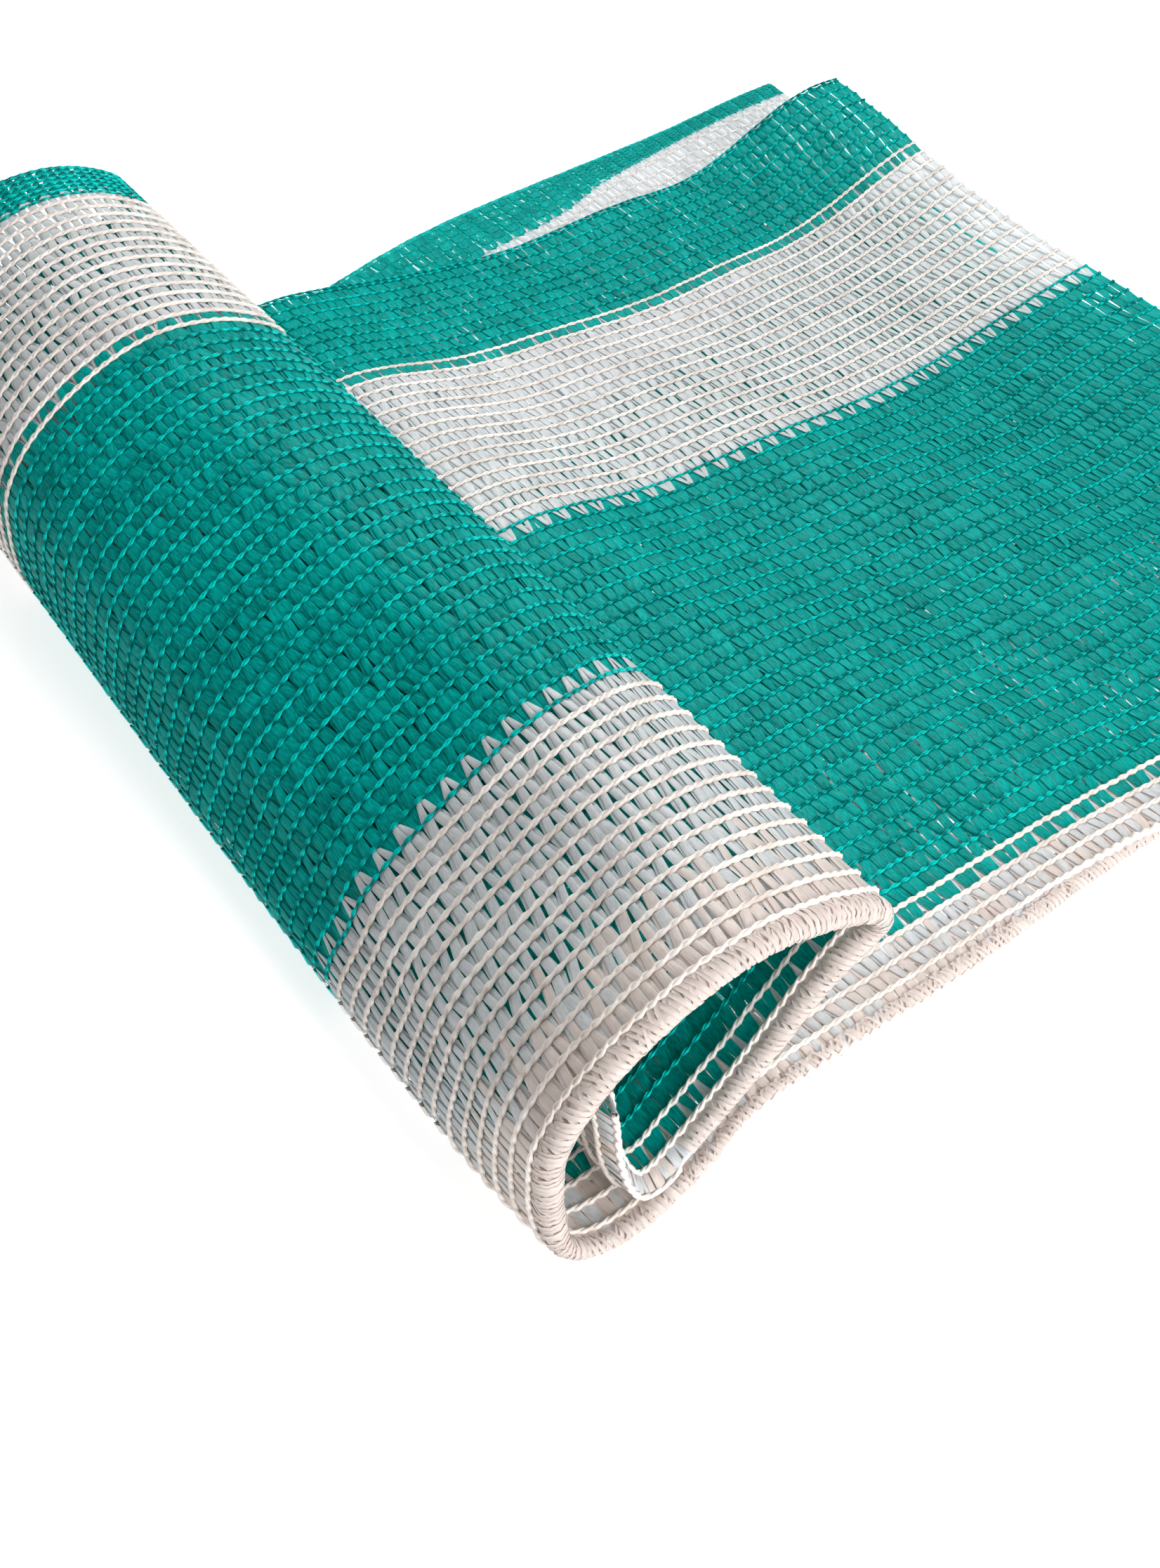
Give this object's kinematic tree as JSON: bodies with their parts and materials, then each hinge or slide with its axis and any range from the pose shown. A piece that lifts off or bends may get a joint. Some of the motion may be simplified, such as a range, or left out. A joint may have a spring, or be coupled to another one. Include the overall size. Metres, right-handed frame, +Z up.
{
  "type": "shade cloth",
  "caption": "Cut length of striped knitted shade net, folded once along its length and loosely rolled at one end, for shading plants or seats.",
  "frame": {"origin": "centre of the bounding box's underside, on the ground that the cloth lies on", "axes": "+X along the cloth from the rolled end to the free end, +Y along the roll's axis from the soft fold to the cut edges, +Z up"},
  "size_m": [0.196, 0.2018, 0.0383],
  "materials": {
    "net_yarn": "matt"
  },
  "bodies": {
    "root": {"shade_cloth": "net_yarn"}
  },
  "joints": []
}
